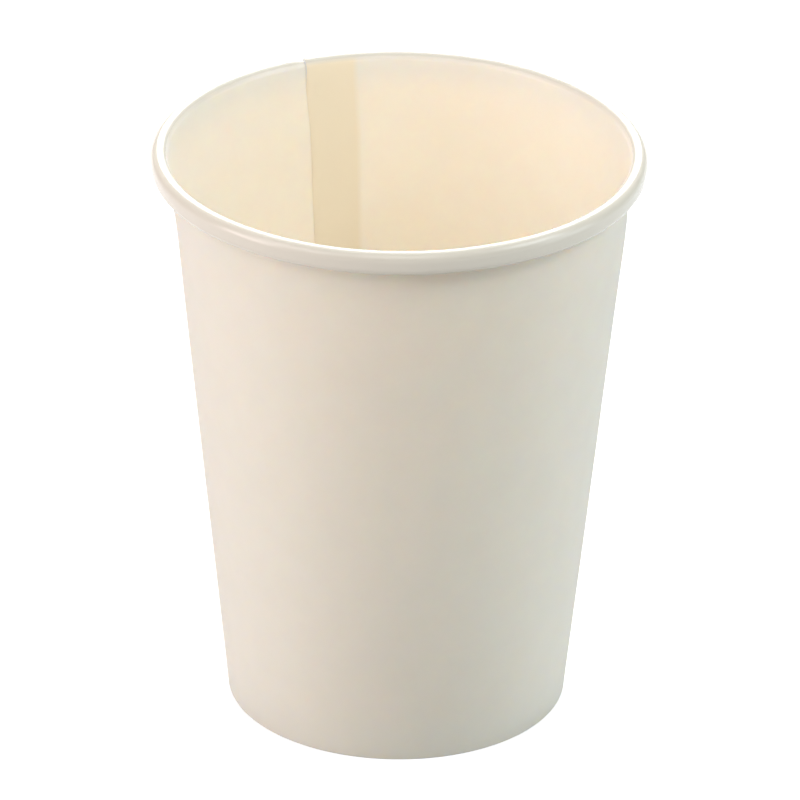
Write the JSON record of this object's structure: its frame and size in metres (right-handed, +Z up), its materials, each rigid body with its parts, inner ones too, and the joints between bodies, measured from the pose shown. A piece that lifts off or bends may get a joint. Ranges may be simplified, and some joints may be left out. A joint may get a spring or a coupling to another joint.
{
  "type": "paper coffee cup",
  "caption": "Plain single-wall paper coffee cup: tapered wall with a rolled drinking rim, a lapped side seam, a folded hem and a recessed base.",
  "frame": {"origin": "centre of the circle that the cup stands on", "axes": "+Z up along the cup's axis, -Y towards the picture's viewer, the side seam at the back left (114.6 degrees from +X)"},
  "size_m": [0.09, 0.09, 0.109],
  "materials": {
    "wall_board": "matte outside, satin coated lining",
    "base_board": "matte outside, satin coated lining"
  },
  "bodies": {
    "root": {"side_wall": "wall_board", "base_disc": "base_board"}
  },
  "joints": []
}
